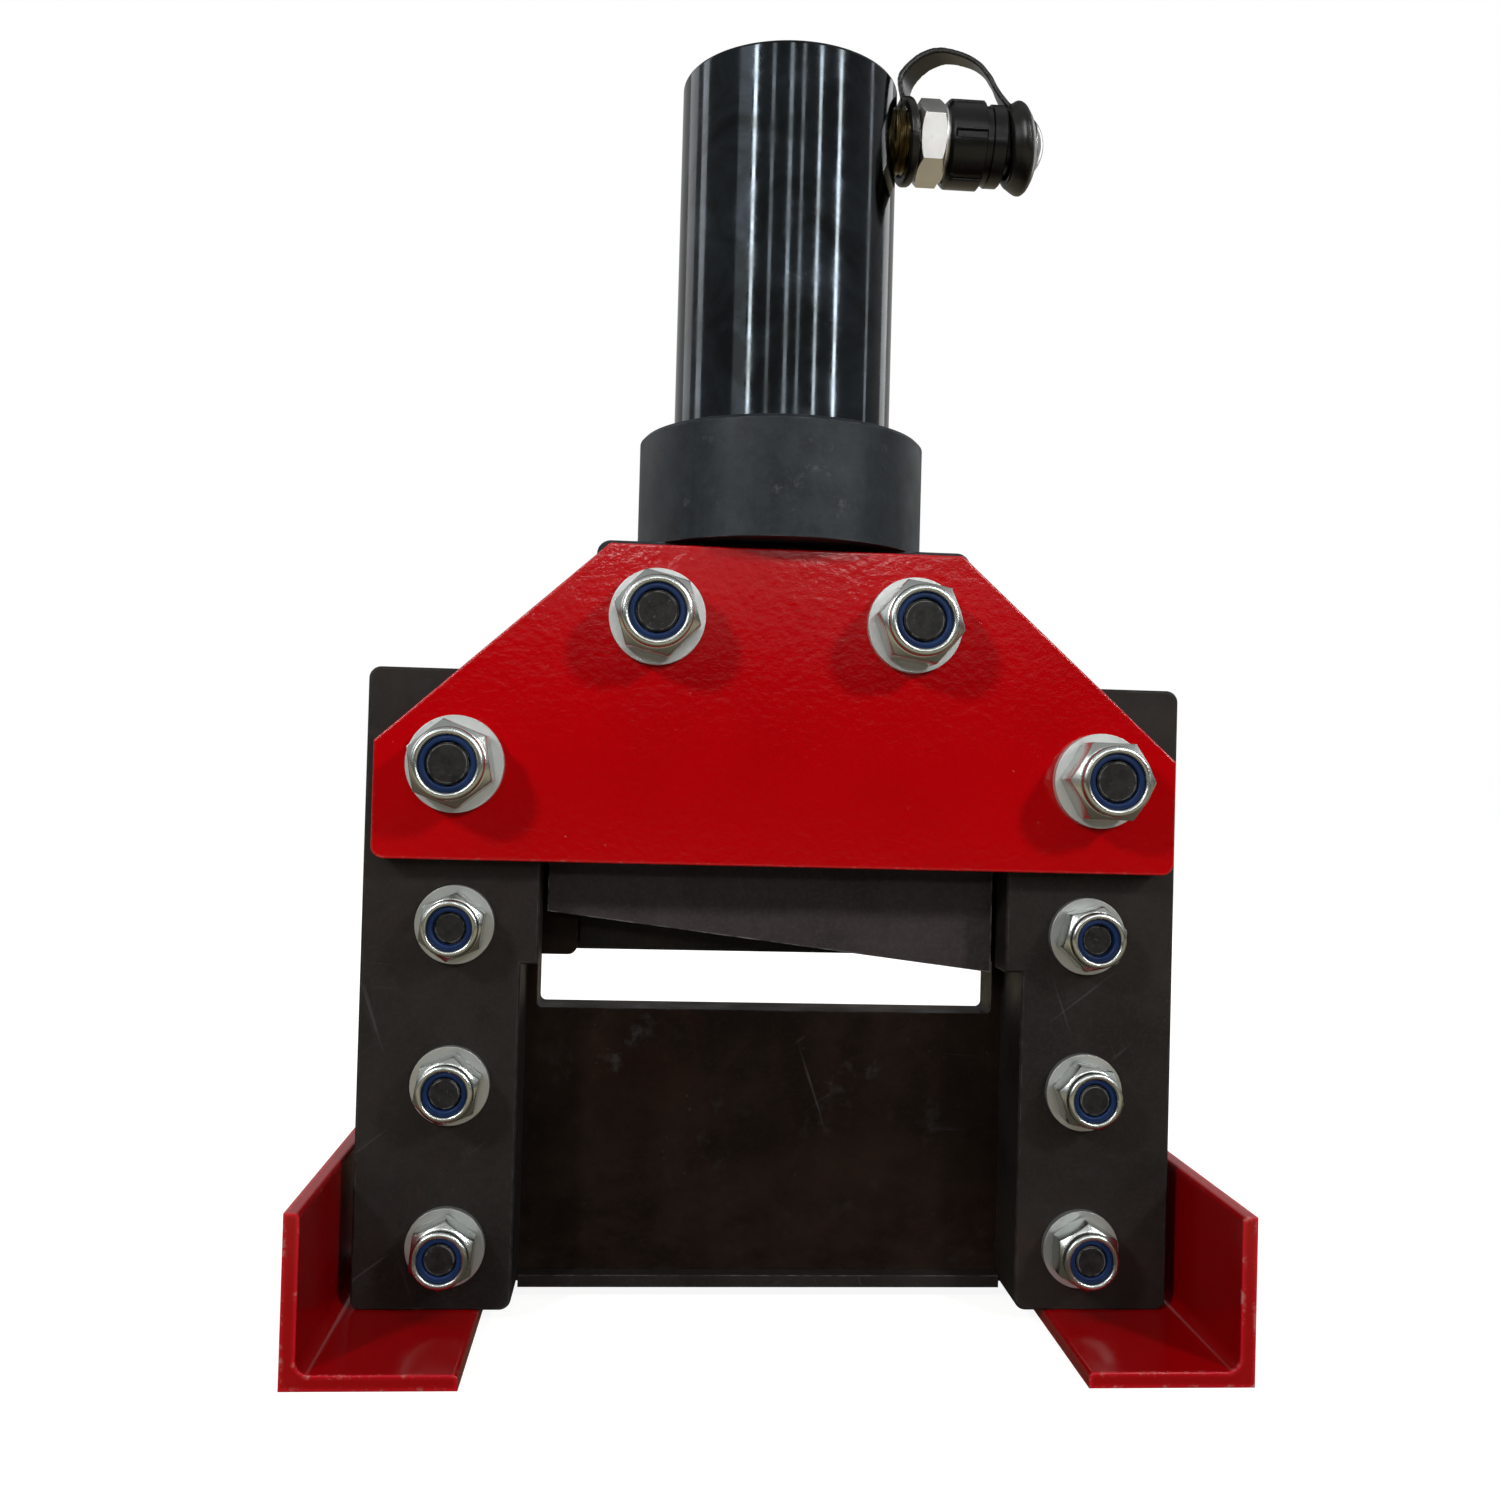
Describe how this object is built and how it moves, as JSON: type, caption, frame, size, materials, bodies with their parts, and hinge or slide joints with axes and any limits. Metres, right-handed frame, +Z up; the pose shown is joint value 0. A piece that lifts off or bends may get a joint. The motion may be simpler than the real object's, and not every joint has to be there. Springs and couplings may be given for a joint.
{
  "type": "hydraulic busbar cutter",
  "caption": "Hydraulic busbar cutter: a bolted shear frame on angle feet, with red clamp plates, a spring-return cylinder on top and a raked blade that drops past a fixed blade.",
  "frame": {"origin": "centre of the rectangle that the two feet stand in, at floor level", "axes": "+X to the right as seen from the nut side, +Y from the nut side to the back, +Z up along the cylinder"},
  "size_m": [0.283, 0.15, 0.4322],
  "materials": {
    "red_paint": "thick red enamel, chipped at the edges",
    "black_oxide": "blackened steel, scratched",
    "blade_steel": "blackened tool steel",
    "cylinder_black": "polished blue-black",
    "hard_chrome": "hard chrome",
    "bright_steel": "bright turned steel",
    "zinc": "bright zinc plate",
    "dark_bolt": "blackened bolts",
    "blue_nylon": "blue nylon",
    "brass": "dull brass",
    "black_rubber": "black rubber",
    "black_plastic": "moulded black plastic"
  },
  "bodies": {
    "frame": {"front_plate": "red_paint", "rear_plate": "red_paint", "left_foot": "red_paint", "right_foot": "red_paint", "left_front_bar": "black_oxide", "right_front_bar": "black_oxide", "left_rear_bar": "black_oxide", "right_rear_bar": "black_oxide", "rear_cross_bar": "black_oxide", "base_strip": "black_oxide", "head_block": "black_oxide", "cylinder_collar": "black_oxide", "fixed_blade_plate": "blade_steel", "cylinder_barrel": "cylinder_black", "coupler_body": "bright_steel", "check_spring": "bright_steel", "return_spring": "bright_steel", "plate_nuts": "zinc", "column_nuts": "zinc", "plate_washers": "zinc", "column_washers": "zinc", "plate_bolts": "dark_bolt", "column_bolts": "dark_bolt", "foot_screws": "dark_bolt", "cross_bar_screws": "dark_bolt", "base_strip_screws": "dark_bolt", "plate_nut_inserts": "blue_nylon", "column_nut_inserts": "blue_nylon", "port_nipple": "brass", "rod_gland": "brass", "rod_wiper": "black_rubber", "rod_seal": "black_rubber"},
    "ram": {"piston": "bright_steel", "piston_seal": "black_rubber", "piston_nut": "bright_steel", "ram_rod": "hard_chrome", "ram_pin": "bright_steel", "crosshead": "black_oxide", "moving_blade": "blade_steel", "blade_screws": "dark_bolt"},
    "check_valve": {"check_ball": "bright_steel"},
    "cap_strap": {"cap_strap": "black_rubber"},
    "dust_cap": {"dust_cap": "black_plastic", "strap_cap_ring": "black_rubber", "cap_dome": "black_plastic"}
  },
  "joints": [
    {"name": "ram_slide", "type": "slide", "parent": "frame", "child": "ram", "axis": [0, 0, -1], "range_m": [0, 0.0365], "stiffness_N_per_m": 8000, "springref_m": -0.02, "deforming": ["return_spring"]},
    {"name": "check_valve_slide", "type": "slide", "parent": "frame", "child": "check_valve", "axis": [-1, 0, 0], "range_m": [0, 0.0025], "stiffness_N_per_m": 400, "springref_m": -0.003, "deforming": ["check_spring"]},
    {"name": "cap_strap_swivel", "type": "hinge", "parent": "frame", "child": "cap_strap", "pos_m": [0.0423, 0, 0.3995], "axis": [1, 0, 0], "continuous": true},
    {"name": "dust_cap_pull", "type": "slide", "parent": "cap_strap", "child": "dust_cap", "axis": [1, 0, 0], "range_m": [0, 0.02]}
  ]
}
